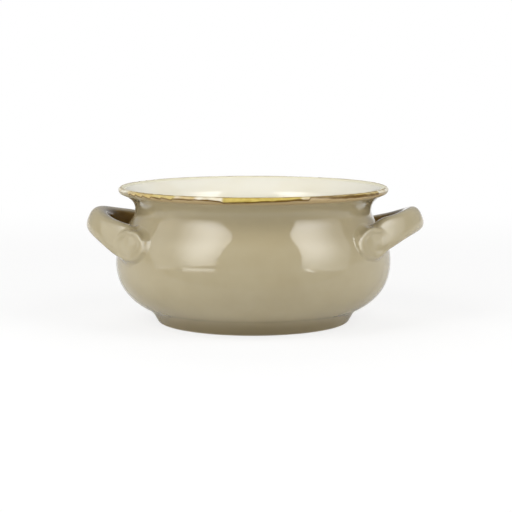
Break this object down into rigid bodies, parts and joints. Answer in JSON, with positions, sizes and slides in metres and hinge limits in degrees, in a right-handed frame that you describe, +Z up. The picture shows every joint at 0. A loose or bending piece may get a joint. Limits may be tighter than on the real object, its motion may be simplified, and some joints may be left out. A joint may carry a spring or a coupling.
{
  "type": "handled round baker",
  "caption": "Round glazed stoneware baker with a full belly, flared lip, brushed rim and raised strap handles pressed on at the shoulder.",
  "frame": {"origin": "middle of the foot ring's standing face, on the bowl's axis", "axes": "+X from handle to handle, towards the right handle; +Y to the rear; +Z up along the bowl's axis"},
  "size_m": [0.254, 0.207, 0.1016],
  "materials": {
    "outer_glaze": "glossy taupe glaze",
    "lining_glaze": "glossy cream glaze",
    "rim_glaze": "glossy brushed ochre glaze with a dark brown edge line"
  },
  "bodies": {
    "root": {"bowl_body": "outer_glaze", "foot_ring": "outer_glaze", "lining_glaze": "lining_glaze", "rim_glaze_band": "rim_glaze", "left_handle": "outer_glaze", "right_handle": "outer_glaze", "left_front_root_pad": "outer_glaze", "left_rear_root_pad": "outer_glaze", "right_front_root_pad": "outer_glaze", "right_rear_root_pad": "outer_glaze"}
  },
  "joints": []
}
